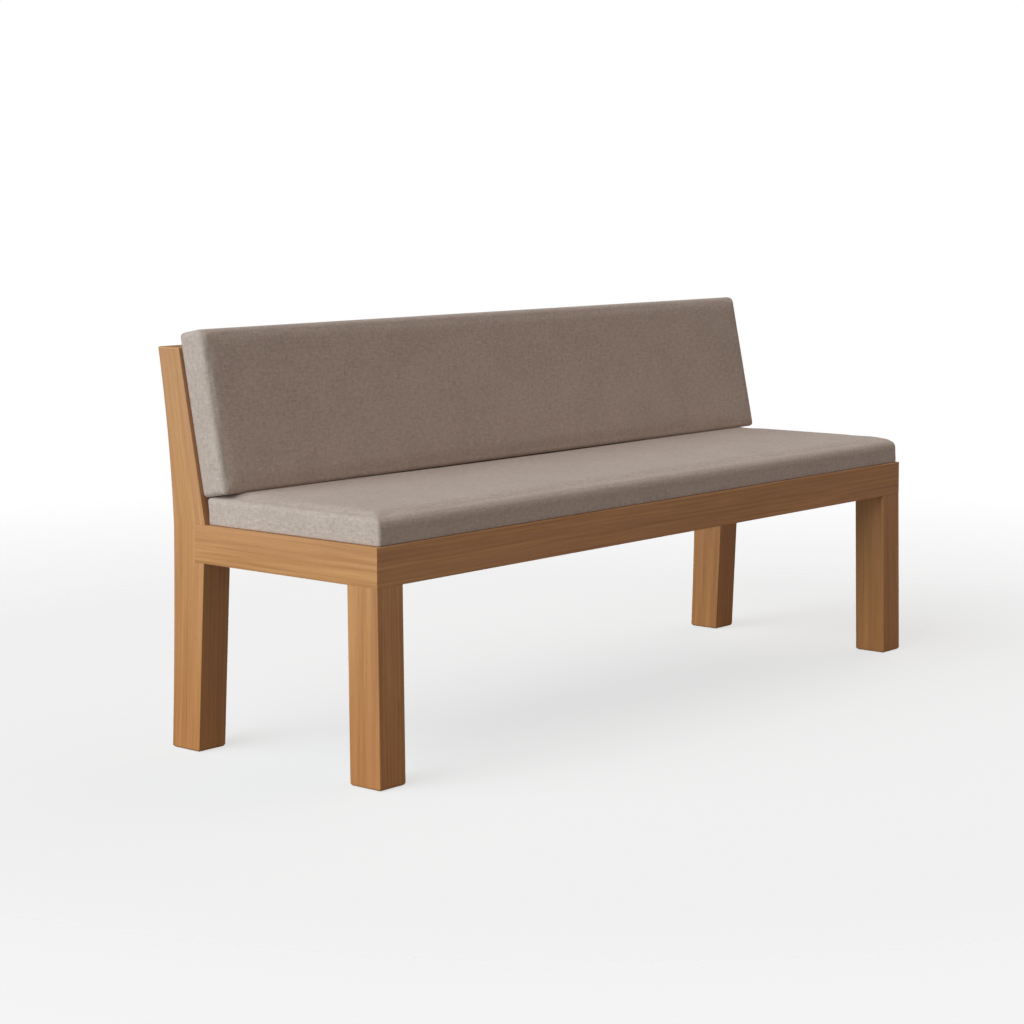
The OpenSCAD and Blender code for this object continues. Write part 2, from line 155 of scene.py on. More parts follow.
class Tree:
    """A material's nodes, added one call at a time."""

    def __init__(self, name):
        self.material = bpy.data.materials.new(name)
        self.material.use_nodes = True
        self.tree = self.material.node_tree
        self.shader = self.tree.nodes["Principled BSDF"]

    def add(self, kind, inputs=(), **settings):
        """Adds a node; inputs maps a socket's name or number to a value or to another node's output."""
        node = self.tree.nodes.new("ShaderNode" + kind)
        for key, value in settings.items():
            setattr(node, key, value)
        for key, value in dict(inputs).items():
            self.put(node.inputs[key], value)
        return node

    def put(self, socket, value):
        if isinstance(value, bpy.types.NodeSocket):
            self.tree.links.new(value, socket)
        else:
            socket.default_value = value

    def math(self, operation, a, b=0.0, c=0.0):
        return self.add("Math", {0: a, 1: b, 2: c}, operation=operation).outputs[0]

    def vector(self, operation, a, b):
        return self.add("VectorMath", {0: a, 1: b}, operation=operation).outputs[0]

    def mix(self, factor, a, b, blend="MIX"):
        """Mixes two colours."""
        node = self.add("Mix", {"Factor": factor}, data_type="RGBA", blend_type=blend)
        self.put(node.inputs[6], a)
        self.put(node.inputs[7], b)
        return node.outputs[2]

    def noise(self, vector, scale, detail=2.0, rough=0.5):
        inputs = {"Vector": vector, "Scale": scale, "Detail": detail, "Roughness": rough}
        return self.add("TexNoise", inputs).outputs["Fac"]

    def stretch(self, vector, scale):
        return self.add("Mapping", {"Vector": vector, "Scale": scale}).outputs[0]

    def span(self, value, low, high, to_low=0.0, to_high=1.0):
        """Maps low..high onto to_low..to_high and holds it there."""
        inputs = {0: value, 1: low, 2: high, 3: to_low, 4: to_high}
        return self.add("MapRange", inputs).outputs[0]

    def bump(self, height, distance, strength=1.0):
        inputs = {"Height": height, "Distance": distance, "Strength": strength}
        return self.add("Bump", inputs).outputs[0]

    def finish(self, colour, roughness, normal=None, **fixed):
        """Wires the shader; the fixed values go straight onto its own sockets."""
        self.put(self.shader.inputs["Base Color"], colour)
        self.put(self.shader.inputs["Roughness"], roughness)
        if normal is not None:
            self.put(self.shader.inputs["Normal"], normal)
        for key, value in fixed.items():
            self.shader.inputs[key.replace("_", " ")].default_value = value
        return self.material


def rgba(colour):
    return (*colour, 1.0)


# ---------- finishes ----------

def wood_finish(name, wood, figure=1.0):
    """Oiled oak: faint rings, streaks, fibres and pores that run along each board's own grain.

    Painted shade makes the colour deeper near the floor, and painted light makes it paler higher up.
    """
    t = Tree(name)
    grain = t.add("Attribute", attribute_name="grain").outputs["Vector"]
    sway = t.add("TexNoise", {"Vector": t.stretch(grain, (1.0, 3.0, 3.0)), "Scale": 2.2, "Detail": 1.0})
    sway = t.vector("SUBTRACT", sway.outputs["Color"], (0.5, 0.5, 0.5))
    sway = t.vector("MULTIPLY", sway, (0.0, 12 * MM, 12 * MM))
    grain = t.vector("ADD", grain, sway)
    rings = t.add("TexWave", {
        "Vector": t.stretch(grain, (0.05, 1.0, 1.0)), "Scale": 0.314 / wood.ring_pitch,
        "Distortion": 9.0, "Detail": 3.0, "Detail Scale": 0.5, "Detail Roughness": 0.65,
    }, wave_type="RINGS", rings_direction="X", wave_profile="SIN").outputs["Fac"]
    fibres = t.noise(t.stretch(grain, (0.012, 1.0, 1.0)), 900.0, 3.0, 0.6)
    streaks = t.noise(t.stretch(grain, (0.02, 1.0, 1.0)), 230.0, 3.0, 0.65)
    bands = t.noise(t.stretch(grain, (0.03, 1.0, 1.0)), 55.0, 2.0, 0.5)
    cloud = t.noise(t.stretch(grain, (0.3, 1.0, 1.0)), 9.0, 2.0)
    pores = t.span(t.noise(t.stretch(grain, (0.05, 1.0, 1.0)), 1500.0, 1.0), 0.66, 0.74)
    ring_part = t.math("MULTIPLY", rings, 0.16 * figure)
    fibre_part = t.math("MULTIPLY_ADD", fibres, 0.35, ring_part)
    streak_part = t.math("MULTIPLY_ADD", streaks, 0.80, fibre_part)
    band_part = t.math("MULTIPLY_ADD", bands, 0.60, streak_part)
    tone = t.math("MULTIPLY_ADD", cloud, 0.35, band_part)
    middle = 1.13 + 0.08 * (figure - 1.0)
    colour = t.mix(t.span(tone, middle - 0.34, middle + 0.34), rgba(wood.light), rgba(wood.dark))
    blush = t.span(t.noise(t.stretch(grain, (0.02, 1.0, 1.0)), 75.0, 2.0), 0.42, 0.68, 0.0, 0.65)
    colour = t.mix(blush, colour, rgba(wood.blush))
    colour = t.mix(t.math("MULTIPLY", pores, 0.35), colour, rgba(wood.pore))
    rub_and_highlight = t.add("Attribute", attribute_name="rub_and_highlight").outputs["Fac"]
    # Painted highlight: the eased edges are lightened towards a paler oak colour; the roughness below is
    # the real rubbed finish.
    edge_highlight = t.math("MULTIPLY", rub_and_highlight, t.span(cloud, 0.3, 0.7, 0.10, 0.40))
    colour = t.mix(edge_highlight, colour, rgba([min(1.0, c * 1.15) for c in wood.light]))
    rough = t.span(fibres, 0.3, 0.7, 0.50, 0.62)
    rough = t.math("SUBTRACT", rough, t.math("MULTIPLY", rub_and_highlight, 0.08))
    height = t.math("SUBTRACT", t.math("MULTIPLY", fibres, 0.5), pores)
    # Painted light and shade by height: the colour is multiplied darker and warmer near the floor and
    # paler higher up.
    up = t.add("SeparateXYZ", {0: t.add("TexCoord").outputs["Object"]}).outputs[2]
    height_shade_tint = t.mix(t.span(up, 0.05, 0.66), (0.94, 0.85, 0.70, 1.0), (1.05, 1.14, 1.30, 1.0))
    colour = t.mix(1.0, colour, height_shade_tint, blend="MULTIPLY")
    return t.finish(colour, rough, t.bump(height, 0.12 * MM, 0.5),
                    Specular_IOR_Level=0.35, Coat_Weight=0.06, Coat_Roughness=0.35)


def ply_finish(name, wood):
    """Raw birch ply: rotary-cut face with broad streaks."""
    t = Tree(name)
    place = t.add("TexCoord").outputs["Object"]
    streaks = t.noise(t.stretch(place, (0.8, 12.0, 12.0)), 6.0, 4.0, 0.6)
    fibres = t.noise(t.stretch(place, (3.0, 60.0, 60.0)), 18.0, 3.0)
    tone = t.math("MULTIPLY_ADD", fibres, 0.4, t.math("MULTIPLY", streaks, 0.7))
    colour = t.mix(t.span(tone, 0.35, 0.75), rgba(wood.ply_light), rgba(wood.ply_dark))
    return t.finish(colour, t.span(fibres, 0.3, 0.7, 0.6, 0.75), t.bump(fibres, 0.1 * MM, 0.4))


def cloth_finish(name, cloth):
    """Heathered plain weave on the pad's own cloth map, which is in metres."""
    t = Tree(name)
    flat = t.add("UVMap", uv_map="cloth").outputs[0]
    part = t.add("SeparateXYZ", {0: flat})
    half_turn = math.pi / cloth.yarn
    across = t.math("SINE", t.math("MULTIPLY", part.outputs[0], half_turn))
    along = t.math("SINE", t.math("MULTIPLY", part.outputs[1], half_turn))
    lift = t.math("MULTIPLY", across, along)
    weft_on_top = t.span(lift, -0.15, 0.15)
    yarn_scale = 0.8 / cloth.yarn
    warp_tint = t.noise(t.stretch(flat, (1.0, 0.07, 1.0)), yarn_scale, 2.0, 0.7)
    weft_tint = t.noise(t.stretch(flat, (0.07, 1.0, 1.0)), yarn_scale, 2.0, 0.7)
    tint = t.add("Mix", {"Factor": weft_on_top, 2: warp_tint, 3: weft_tint}).outputs[0]
    slub = t.noise(t.stretch(flat, (0.55, 1.0, 1.0)), 210.0, 3.0, 0.65)
    warp_streak = t.noise(t.stretch(flat, (1.0, 0.45, 1.0)), 170.0, 3.0, 0.7)
    weft_streak = t.noise(t.stretch(flat, (0.45, 1.0, 1.0)), 170.0, 3.0, 0.7)
    mottle = t.math("MULTIPLY_ADD", weft_streak, 0.5, t.math("MULTIPLY", warp_streak, 0.5))
    cloud = t.noise(flat, 9.0, 3.0, 0.6)
    tone = t.math("MULTIPLY_ADD", slub, 0.50, t.math("MULTIPLY", tint, 0.70))
    tone = t.math("MULTIPLY_ADD", mottle, 0.95, tone)
    tone = t.math("MULTIPLY_ADD", cloud, 0.25, tone)
    colour = t.mix(t.span(tone, 0.89, 1.51), rgba(cloth.dark), rgba(cloth.light))
    # Painted shade: the colour is darkened along the grooves between the yarns.
    yarn_gap_shade = t.span(t.math("ABSOLUTE", lift), 0.0, 0.5, 0.80, 1.0)
    colour = t.mix(1.0, colour, yarn_gap_shade, blend="MULTIPLY")
    height = t.math("MULTIPLY_ADD", slub, 0.5, t.math("ABSOLUTE", lift))
    return t.finish(colour, t.span(slub, 0.3, 0.7, 0.86, 0.96), t.bump(height, 0.22 * MM, 0.55),
                    Specular_IOR_Level=0.2, Sheen_Weight=0.15, Sheen_Roughness=0.5)


def lining_finish(name, cloth):
    """Black non-woven bottom cloth with a felted, dimpled surface."""
    t = Tree(name)
    place = t.add("TexCoord").outputs["Object"]
    felt = t.noise(place, 700.0, 4.0, 0.7)
    dimples = t.add("TexVoronoi", {"Vector": place, "Scale": 420.0}).outputs["Distance"]
    colour = t.mix(felt, rgba(cloth.lining), rgba([c * 3 for c in cloth.lining]))
    height = t.math("MULTIPLY_ADD", dimples, 0.8, felt)
    return t.finish(colour, t.span(felt, 0.3, 0.7, 0.8, 0.95), t.bump(height, 0.2 * MM, 0.5))


def foam_finish(name):
    """Cream upholstery foam with open cells, with painted shade in the cell hollows."""
    t = Tree(name)
    place = t.add("TexCoord").outputs["Object"]
    cells = t.add("TexVoronoi", {"Vector": place, "Scale": 900.0}).outputs["Distance"]
    yellowing = t.noise(place, 5.0, 2.0)
    colour = t.mix(yellowing, (0.80, 0.70, 0.42, 1.0), (0.72, 0.60, 0.33, 1.0))
    # Painted shade: the colour is darkened towards the hollow middle of each cell.
    colour = t.mix(t.span(cells, 0.1, 0.5, 0.35, 0.0), colour, (0.45, 0.36, 0.18, 1.0))
    return t.finish(colour, t.span(cells, 0.0, 0.6, 0.85, 0.95), t.bump(cells, 0.4 * MM, 0.6))


def metal_finish(name, colour, tarnish, rough):
    """Plated steel with fine scratches and dull patches."""
    t = Tree(name)
    place = t.add("TexCoord").outputs["Object"]
    patches = t.noise(place, 120.0, 3.0, 0.6)
    scratches = t.noise(t.stretch(place, (1.0, 14.0, 1.0)), 400.0, 3.0, 0.7)
    tone = t.mix(t.span(patches, 0.35, 0.75), rgba(colour), rgba(tarnish))
    roughness = t.span(scratches, 0.3, 0.7, rough, rough + 0.18)
    return t.finish(tone, roughness, t.bump(scratches, 0.03 * MM, 0.4), Metallic=1.0)


def nylon_finish(name):
    """Brown nylon with a moulded grain, scuffed paler on its sole."""
    t = Tree(name)
    place = t.add("TexCoord").outputs["Object"]
    grain = t.noise(place, 900.0, 3.0, 0.6)
    scuffs = t.noise(t.stretch(place, (1.0, 6.0, 1.0)), 140.0, 3.0, 0.7)
    colour = t.mix(t.span(scuffs, 0.55, 0.75), (0.035, 0.022, 0.015, 1.0), (0.14, 0.11, 0.09, 1.0))
    return t.finish(colour, t.span(scuffs, 0.4, 0.7, 0.42, 0.65), t.bump(grain, 0.05 * MM, 0.4))


# ---------- mesh helpers ----------

def new_piece(name, bm):
    mesh = bpy.data.meshes.new(name)
    bm.to_mesh(mesh)
    bm.free()
    piece = bpy.data.objects.new(name, mesh)
    bpy.context.scene.collection.objects.link(piece)
    return piece


def baked(piece):
    """Replaces a piece's mesh with the result of its modifiers."""
    bpy.context.view_layer.update()
    seen = piece.evaluated_get(bpy.context.evaluated_depsgraph_get())
    mesh = bpy.data.meshes.new_from_object(seen)
    piece.modifiers.clear()
    old = piece.data
    piece.data = mesh
    bpy.data.meshes.remove(old)


def joined_tree(nodes):
    """One search tree over the surfaces of the CAD nodes named."""
    bm = bmesh.new()
    for node in nodes:
        bm.from_mesh(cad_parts[node].data)
    tree = BVHTree.FromBMesh(bm)
    bm.free()
    return tree


def all_boards():
    return [node for group in BOARDS.values() for node, _ in group]


def post_centre(z, seat, head):
    """Middle of a rear post's depth at height z; its grain follows the bend at the seat."""
    foot, waist, top = POST_MIDDLES
    if z < seat:
        return foot + (waist - foot) * z / seat
    return waist + (top - waist) * (z - seat) / (head - seat)


def grain_place(co, way, seed, heights):
    """Turns a point into along-grain, across and across again, moved to the board's own wood."""
    x, y, z = co
    if way == "Y":
        x, y, z = y, x, z
    elif way == "Z":
        x, y, z = z, x, y
    elif way == "post":
        x, y, z = z, x, y - post_centre(z, *heights)
    elif way == "lean":
        x, y, z = z, x, y - 0.2 * z
    return Vector((x + 3.1 * seed, y + 0.11 + 0.037 * (seed % 5), z + 0.16 + 0.023 * (seed % 7)))


def run_length(edge):
    """Length of an edge, or of the longest edge that carries it straight on."""
    way = (edge.verts[1].co - edge.verts[0].co).normalized()
    lengths = [edge.calc_length()]
    for vert in edge.verts:
        for other in vert.link_edges:
            run = other.other_vert(vert).co - vert.co
            if abs(way.dot(run.normalized())) > 0.995:
                lengths.append(run.length)
    return max(lengths)


def ease_edges(bm, others, wood):
    """Weights each sharp outer edge: full where it is free, less at the floor, a hair line at joints."""
    weight = bm.edges.layers.float.new("bevel_weight_edge")
    for edge in bm.edges:
        if len(edge.link_faces) != 2 or run_length(edge) < 4 * MM:
            continue
        if edge.calc_face_angle_signed(0.0) < math.radians(35):
            continue
        a, b = (v.co for v in edge.verts)
        near = [others.find_nearest(a.lerp(b, s), 1.0 * MM)[0] for s in (0.08, 0.3, 0.5, 0.7, 0.92)]
        met = sum(hit is not None for hit in near)
        sole = max(a.z, b.z) < 1.0 * MM
        if met >= 2:
            edge[weight] = wood.joint_ease / wood.ease
        else:
            edge[weight] = SOLE_EASING if sole else 1.0


def mark_rub_and_highlight(mesh):
    """Marks the narrow eased faces, where hands rub the finish smoother and a painted highlight lightens
    the colour.
    """
    rub_and_highlight = mesh.attributes.new("rub_and_highlight", "FLOAT", "FACE")
    main = [Vector(axis) for axis in ((1, 0, 0), (0, 1, 0), (0, 0, 1))]
    values = []
    for face in mesh.polygons:
        steep = max(abs(face.normal.dot(axis)) for axis in main)
        values.append(1.0 if steep < 0.965 and face.area < 60 * MM * 8 * MM else 0.0)
    rub_and_highlight.data.foreach_set("value", values)


def board(node, way, seed, wood, material, slot):
    """A board of the frame: the CAD node's shape with its edges eased and its own grain."""
    bm = bmesh.new()
    bm.from_mesh(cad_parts[node].data)
    bmesh.ops.remove_doubles(bm, verts=bm.verts, dist=0.01 * MM)
    bmesh.ops.dissolve_limit(bm, angle_limit=math.radians(0.2), verts=bm.verts, edges=bm.edges,
                             delimit=set())
    cuts = []
    if node == "front_rail":
        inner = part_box("front_leg_right")[0][0]
        cuts = [((side * inner, 0, 0), (1, 0, 0)) for side in (-1, 1)]
    elif way == "Y" and "side" in node:
        cuts = [((0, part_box("front_leg_left")[1][1], 0), (0, 1, 0)),
                ((0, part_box("rear_post_left")[0][1], 0), (0, 1, 0))]
    elif way == "post":
        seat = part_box("front_rail")[1][2]
        rise = (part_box(node)[1][2] - seat) / POST_CUTS
        cuts = [((0, 0, seat + k * rise), (0, 0, 1)) for k in range(POST_CUTS)]
        cuts.append(((0, 0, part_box("front_rail")[0][2]), (0, 0, 1)))
    for place, normal in cuts:
        bmesh.ops.bisect_plane(bm, geom=bm.verts[:] + bm.edges[:] + bm.faces[:], dist=0.01 * MM,
                               plane_co=place, plane_no=normal)
    bm.normal_update()
    ease_edges(bm, joined_tree([n for n in all_boards() if n != node]), wood)
    piece = new_piece("oak_" + node, bm)
    bevel = piece.modifiers.new("ease", "BEVEL")
    bevel.width = wood.ease
    bevel.segments = 3
    bevel.limit_method = "WEIGHT"
    bevel.use_clamp_overlap = True
    bevel.harden_normals = False
    baked(piece)
    mesh = piece.data
    grain = mesh.attributes.new("grain", "FLOAT_VECTOR", "POINT")
    heights = (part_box("front_rail")[1][2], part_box("rear_post_left")[1][2])
    flat = [c for v in mesh.vertices for c in grain_place(v.co, way, seed, heights)]
    grain.data.foreach_set("vector", flat)
    mark_rub_and_highlight(mesh)
    mesh.materials.clear()
    mesh.materials.append(material)
    shade(piece, 30)
    level = piece.modifiers.new("level", "WEIGHTED_NORMAL")
    level.keep_sharp = True
    baked(piece)
    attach(piece, BODY)
    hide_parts(node)
    return piece


def shade(piece, degrees):
    """Smooth shading with sharp edges kept above an angle."""
    mesh = piece.data
    mesh.shade_smooth()
    mesh.set_sharp_from_angle(angle=math.radians(degrees))


def paint_node(node, material):
    """Gives a CAD node its finish."""
    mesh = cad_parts[node].data
    mesh.materials.clear()
    mesh.materials.append(material)


# ---------- upholstered pads ----------

def tilted_box(node, tilt):
    """A CAD node's box in a frame turned by tilt about X."""
    turn = Matrix.Rotation(-tilt, 3, "X")
    points = [turn @ v.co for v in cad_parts[node].data.vertices]
    low = Vector([min(p[k] for p in points) for k in range(3)])
    high = Vector([max(p[k] for p in points) for k in range(3)])
    return low, high


def rounded_block(size, radii):
    """A block whose padded edges are rounded: radii are (at low y, at high y, at the ends, upright)."""
    low, high, ends, upright = radii
    widest = max(radii)
    bm = bmesh.new()
    bmesh.ops.create_cube(bm, size=1.0)
    bmesh.ops.translate(bm, verts=bm.verts, vec=(0, 0, 0.5))
    bmesh.ops.scale(bm, verts=bm.verts, vec=size)
    weight = bm.edges.layers.float.new("bevel_weight_edge")
    for edge in bm.edges:
        middle = (edge.verts[0].co + edge.verts[1].co) / 2
        if middle.z > 0.9 * size.z:
            across = ends if abs(middle.x) > 0.4 * size.x else (low if middle.y < 0 else high)
            edge[weight] = across / widest
        elif middle.z > 0.1 * size.z:
            edge[weight] = upright / widest
    block = new_piece("block", bm)
    bevel = block.modifiers.new("round", "BEVEL")
    bevel.width = widest
    bevel.segments = 6
    bevel.limit_method = "WEIGHT"
    baked(block)
    bm = bmesh.new()
    bm.from_mesh(block.data)
    bpy.data.meshes.remove(block.data)
    return bm


def pad_block(size, cloth, radii, window):
    """A closed pad lying on its board: round padded edges, cloth turned over the board's edge."""
    bm = rounded_block(size, radii)
    base = [e for e in bm.edges if all(v.co.z < 0.01 * MM for v in e.verts)]
    bmesh.ops.bevel(bm, geom=base, offset=cloth.hem, affect="EDGES", segments=3, profile=0.5,
                    material=-1)
    under = [f for f in bm.faces if f.normal.z < -0.99]
    bmesh.ops.inset_region(bm, faces=under, thickness=window - cloth.hem)
    for thickness in (1 * MM, 0.5 * MM):
        bmesh.ops.inset_region(bm, faces=under, thickness=thickness)
    bmesh.ops.translate(bm, verts=list({v for f in under for v in f.verts}), vec=(0, 0, 3.5 * MM))
    for axis, length in ((0, size.x), (1, size.y), (2, size.z)):
        count = round(length / cloth.cell) if axis < 2 else 5
        for k in range(1, count):
            place, normal = Vector(), Vector()
            place[axis] = length * (k / count - (0.5 if axis < 2 else 0))
            normal[axis] = 1
            bmesh.ops.bisect_plane(bm, geom=bm.verts[:] + bm.edges[:] + bm.faces[:],
                                   dist=0.05 * MM, plane_co=place, plane_no=normal)
    bmesh.ops.remove_doubles(bm, verts=bm.verts, dist=0.05 * MM)
    bmesh.ops.triangulate(bm, faces=[f for f in bm.faces if len(f.verts) > 4])
    bmesh.ops.recalc_face_normals(bm, faces=bm.faces)
    return bm


def slim(bm, size, shrink, board, lean, droop):
    """Draws the padding in above the board, so that it has room to swell.

    lean tips the upper edge at high y outwards; droop lets the upper edge at low y sink.
    """
    reach = 45 * MM
    for vert in bm.verts:
        up = min(1.0, max(0.0, (vert.co.z - board) / (size.z - board)))
        draw = up * up * (3 - 2 * up)
        near_high = max(0.0, 1 - (size.y / 2 - vert.co.y) / reach)
        near_low = max(0.0, 1 - (size.y / 2 + vert.co.y) / reach)
        vert.co.x -= vert.co.x / (size.x / 2) * shrink.x * draw
        vert.co.y += (lean * near_high - droop * near_low) * up
        vert.co.z -= shrink.z * up


def lay_cloth_map(bm, size):
    """Cloth map in metres: the cover runs over the top and down each side without a break."""
    layer = bm.loops.layers.uv.new("cloth")
    for face in bm.faces:
        end = abs(face.normal.x) > max(abs(face.normal.y), abs(face.normal.z))
        for loop in face.loops:
            x, y, z = loop.vert.co
            drop = size.z - z
            if end:
                loop[layer].uv = (y, x + math.copysign(drop, x))
            else:
                loop[layer].uv = (x, y + math.copysign(drop, y))


def swell(piece, cloth, cap, board):
    """Runs the cover as cloth under the push of the foam, then holds each point near its start."""
    mesh = piece.data
    start = [v.co.copy() for v in mesh.vertices]
    pins = piece.vertex_groups.new(name="board")
    pins.add([v.index for v in mesh.vertices if v.co.z < board], 1.0, "REPLACE")
    sim = piece.modifiers.new("cover", "CLOTH")
    s = sim.settings
    s.quality = 5
    s.mass = 0.3
    s.tension_stiffness = 15
    s.compression_stiffness = 15
    s.shear_stiffness = 5
    s.bending_stiffness = 0.5
    s.use_pressure = True
    s.uniform_pressure_force = cloth.pressure
    s.vertex_group_mass = pins.name
    s.effector_weights.gravity = 0
    sim.point_cache.frame_start = 1
    sim.point_cache.frame_end = cloth.steps
    scene = bpy.context.scene
    for step in range(1, cloth.steps + 1):
        scene.frame_set(step)
    seen = piece.evaluated_get(bpy.context.evaluated_depsgraph_get())
    moved = [v.co.copy() for v in seen.data.vertices]
    piece.modifiers.remove(sim)
    piece.vertex_groups.clear()
    scene.frame_set(1)
    for vert, first, last in zip(mesh.vertices, start, moved):
        step = last - first
        for k in range(3):
            outward = k == 2 or step[k] * first[k] > 0
            outward = outward and not (k == 2 and step[k] < 0)
            most = cap[k] if outward else FOAM_GIVE
            step[k] = most * math.tanh(step[k] / most)
        vert.co = first + step


def pad(name, part, tilt, cloth, shape):
    """An upholstered pad over a board, swollen by its foam, in the place of its CAD solids."""
    node = part + "_cover"
    low, high = tilted_box(node, tilt)
    size = high - low
    board = cloth.board + 1.5 * MM
    bm = pad_block(size, cloth, [r * MM for r in shape["rounding"]], UNDER_RIM)
    lay_cloth_map(bm, size)
    slim(bm, size, SLIMMING, board, shape["rear_lean"] * MM, shape["droop"] * MM)
    piece = new_piece(name, bm)
    swell(piece, cloth, Vector(shape["swelling"]) * MM, board)
    smooth = piece.modifiers.new("smooth", "SUBSURF")
    smooth.levels = smooth.render_levels = 1
    baked(piece)
    centre = Vector(((low.x + high.x) / 2, (low.y + high.y) / 2, low.z))
    piece.data.transform(Matrix.Rotation(tilt, 4, "X") @ Matrix.Translation(centre))
    piece.data.materials.clear()
    piece.data.materials.append(finish_named("heathered_cloth", cloth_finish, cloth))
    shade(piece, 60)
    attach(piece, BODY)
    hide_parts(node, part + "_wadding")
    return piece


# ---------- operators ----------

def finish_named(name, maker, *facts):
    """A finish by name, made the first time that it is asked for."""
    return bpy.data.materials.get(name) or maker(name, *facts)


def make_boards(group, material, slot):
    wood = bpy.context.scene.pew_wood
    for node, way in BOARDS[group]:
        board(node, way, all_boards().index(node), wood, material, slot)


class PEW_OT_seat_frame(bpy.types.Operator):
    """Rails and bearers of the seat frame"""
    bl_idname = "pew.seat_frame"
    bl_label = "Seat frame"

    def execute(self, context):
        make_boards("seat_frame", finish_named("oiled_oak", wood_finish, context.scene.pew_wood), "oak")
        return {"FINISHED"}


class PEW_OT_legs(bpy.types.Operator):
    """Front legs and sabre-shaped rear posts"""
    bl_idname = "pew.legs"
    bl_label = "Legs and posts"

    def execute(self, context):
        make_boards("legs", finish_named("oiled_oak", wood_finish, context.scene.pew_wood), "oak")
        return {"FINISHED"}


class PEW_OT_back_frame(bpy.types.Operator):
    """Rails, stile and panels of the framed back"""
    bl_idname = "pew.back_frame"
    bl_label = "Framed back"

    def execute(self, context):
        wood = context.scene.pew_wood
        make_boards("back_frame", finish_named("oiled_oak", wood_finish, wood), "oak")
        make_boards("panels", finish_named("oak_veneer", wood_finish, wood, 1.5), "panel_veneer")
        return {"FINISHED"}


class PEW_OT_seat_pad(bpy.types.Operator):
    """Upholstered seat pad"""
    bl_idname = "pew.seat_pad"
    bl_label = "Seat pad"

    def execute(self, context):
        pad("seat_cushion", "seat", 0.0, context.scene.pew_cloth, SEAT_PAD)
        return {"FINISHED"}


class PEW_OT_back_pad(bpy.types.Operator):
    """Upholstered back pad, leaning on the posts"""
    bl_idname = "pew.back_pad"
    bl_label = "Back pad"

    def execute(self, context):
        pad("back_cushion", "back", math.pi / 2 - LEAN, context.scene.pew_cloth, BACK_PAD)
        return {"FINISHED"}


class PEW_OT_pad_insides(bpy.types.Operator):
    """Boards, foam and bottom cloths of the pads"""
    bl_idname = "pew.pad_insides"
    bl_label = "Pad insides"

    def execute(self, context):
        scene = context.scene
        ply = finish_named("birch_ply", ply_finish, scene.pew_wood)
        foam = finish_named("cream_foam", foam_finish)
        lining = finish_named("black_lining", lining_finish, scene.pew_cloth)
        for part in ("seat", "back"):
            paint_node(part + "_board", ply)
            paint_node(part + "_foam", foam)
            paint_node(part + "_bottom_cloth", lining)
        return {"FINISHED"}


class PEW_OT_hardware(bpy.types.Operator):
    """Bolts, nuts, screws and floor glides"""
    bl_idname = "pew.hardware"
    bl_label = "Hardware"

    def execute(self, context):
        zinc = finish_named("zinc_plate", metal_finish, (0.55, 0.56, 0.56), (0.36, 0.36, 0.35), 0.32)
        bronze = finish_named("bronzed_plate", metal_finish, (0.16, 0.10, 0.06),
                              (0.07, 0.045, 0.03), 0.38)
        for node in ("seat_pad_bolts", "seat_pad_tee_nuts", "back_pad_tee_nuts", "post_bolts",
                     "post_bolt_washers", "front_leg_screws", "glide_screws"):
            paint_node(node, zinc)
        for node in ("back_pad_bolts", "post_bolt_inserts"):
            paint_node(node, bronze)
        paint_node("floor_glides", finish_named("brown_nylon", nylon_finish))
        return {"FINISHED"}


def floor_finish(radius):
    """Pale floor that fades out at its rim."""
    t = Tree("pale_floor")
    place = t.add("TexCoord").outputs["Object"]
    reach = t.add("VectorMath", {0: place}, operation="LENGTH").outputs["Value"]
    fade = t.span(reach, 0.45 * radius, radius, 0.32, 0.0)
    mottle = t.noise(place, 30.0, 3.0)
    colour = t.mix(mottle, (0.83, 0.83, 0.83, 1.0), (0.85, 0.85, 0.85, 1.0))
    material = t.finish(colour, 0.9, Specular_IOR_Level=0.1)
    t.put(t.shader.inputs["Alpha"], fade)
    return material


def soft_light(name, strength, colour, side, height):
    """A broad soft light; side turns it from the left end towards the back, height lifts it."""
    lamp = bpy.data.lights.new(name, "SUN")
    lamp.angle = LIGHT_SPREAD
    lamp.energy = strength
    lamp.color = colour
    turn, lift = math.radians(side), math.radians(height)
    source = Vector((-math.cos(turn) * math.cos(lift), math.sin(turn) * math.cos(lift), math.sin(lift)))
    light = bpy.data.objects.new(name, lamp)
    light.rotation_euler = (-source).to_track_quat("-Z", "Y").to_euler()
    bpy.context.scene.collection.objects.link(light)


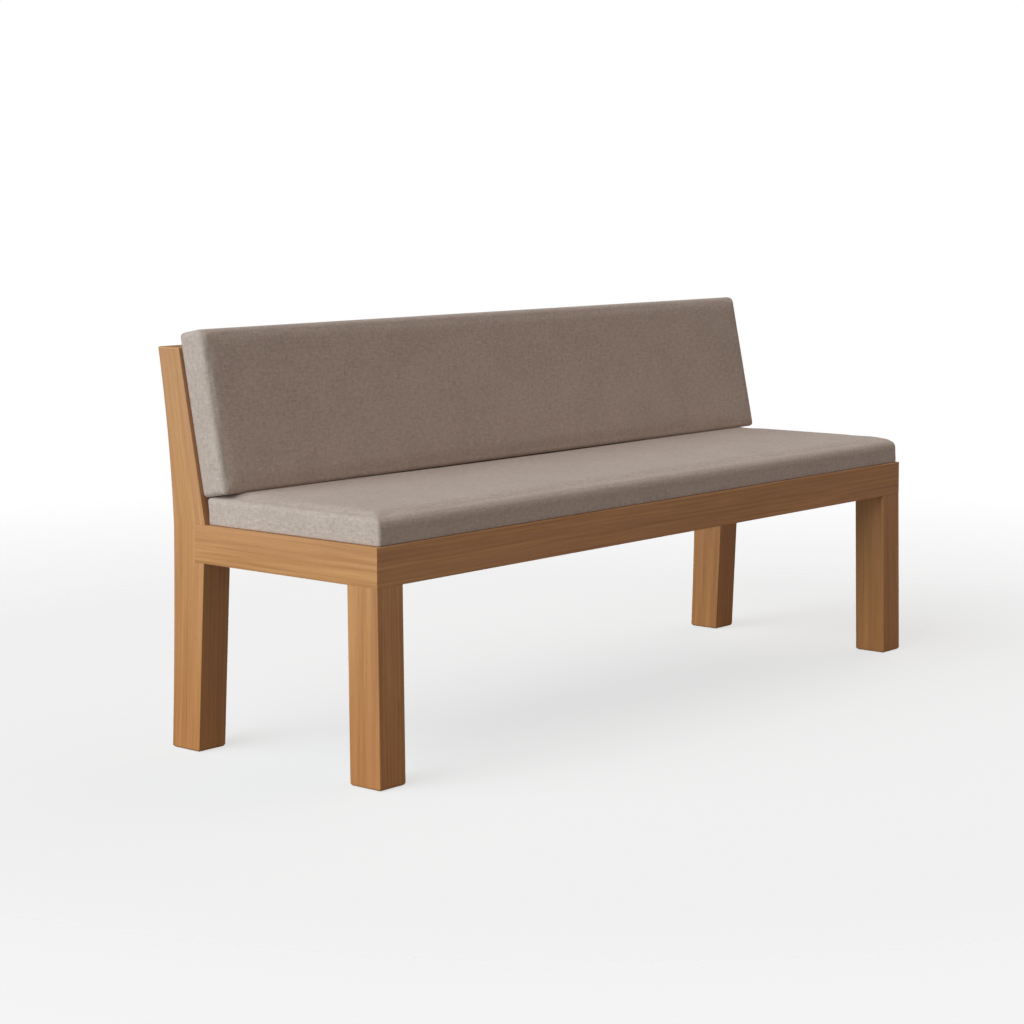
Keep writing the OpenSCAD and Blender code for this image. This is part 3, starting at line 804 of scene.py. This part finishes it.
class PEW_OT_stage(bpy.types.Operator):
    """Pale floor, soft lights and camera"""
    bl_idname = "pew.stage"
    bl_label = "Stage"

    def execute(self, context):
        scene = context.scene
        stage = scene.pew_stage
        bm = bmesh.new()
        bmesh.ops.create_circle(bm, cap_ends=True, segments=96, radius=stage.floor_radius)
        floor = new_piece("floor", bm)
        floor.data.materials.append(floor_finish(stage.floor_radius))

        for name, strength, side, height in KEY_LIGHTS:
            soft_light(name, strength * stage.key, stage.cool, side, height)
        for name, strength, side, height in FILL_LIGHTS:
            soft_light(name, strength * stage.fill, stage.warm, side, height)

        world = scene.world or bpy.data.worlds.new("studio")
        scene.world = world
        world.use_nodes = True
        tree = world.node_tree
        tree.nodes.clear()
        white = tree.nodes.new("ShaderNodeBackground")
        white.inputs["Color"].default_value = (1, 1, 1, 1)
        dim = tree.nodes.new("ShaderNodeBackground")
        dim.inputs["Color"].default_value = (1.0, 0.92, 0.84, 1)
        dim.inputs["Strength"].default_value = 0.05
        rays = tree.nodes.new("ShaderNodeLightPath")
        mix = tree.nodes.new("ShaderNodeMixShader")
        out = tree.nodes.new("ShaderNodeOutputWorld")
        tree.links.new(rays.outputs["Is Camera Ray"], mix.inputs[0])
        tree.links.new(dim.outputs[0], mix.inputs[1])
        tree.links.new(white.outputs[0], mix.inputs[2])
        tree.links.new(mix.outputs[0], out.inputs[0])

        lens = bpy.data.cameras.new("camera")
        lens.lens = stage.lens
        lens.shift_y = stage.shift
        lens.clip_end = 50.0
        camera = bpy.data.objects.new("camera", lens)
        camera.location = stage.place
        camera.rotation_euler = (math.pi / 2 - stage.pitch, 0.0, -stage.heading)
        scene.collection.objects.link(camera)
        scene.camera = camera
        scene.view_settings.view_transform = "Standard"
        return {"FINISHED"}


STEPS = (
    PEW_OT_seat_frame, PEW_OT_legs, PEW_OT_back_frame, PEW_OT_seat_pad, PEW_OT_back_pad,
    PEW_OT_pad_insides, PEW_OT_hardware, PEW_OT_stage,
)


class PEW_PT_panel(bpy.types.Panel):
    """Lists the steps that build the pew"""
    bl_idname = "PEW_PT_panel"
    bl_label = "Church pew"
    bl_space_type = "VIEW_3D"
    bl_region_type = "UI"
    bl_category = "Pew"

    def draw(self, context):
        for step in STEPS:
            self.layout.operator(step.bl_idname)
        for group in (context.scene.pew_wood, context.scene.pew_cloth, context.scene.pew_stage):
            box = self.layout.box()
            for key in group.__annotations__:
                box.prop(group, key)


CLASSES = (PewWood, PewCloth, PewStage, *STEPS, PEW_PT_panel)


def register():
    for cls in CLASSES:
        bpy.utils.register_class(cls)
    bpy.types.Scene.pew_wood = PointerProperty(type=PewWood)
    bpy.types.Scene.pew_cloth = PointerProperty(type=PewCloth)
    bpy.types.Scene.pew_stage = PointerProperty(type=PewStage)


def unregister():
    for key in ("pew_wood", "pew_cloth", "pew_stage"):
        delattr(bpy.types.Scene, key)
    for cls in reversed(CLASSES):
        bpy.utils.unregister_class(cls)


def main():
    register()
    for step in STEPS:
        group, name = step.bl_idname.split(".")
        getattr(getattr(bpy.ops, group), name)()
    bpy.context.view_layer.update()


if __name__ == "__main__":
    main()
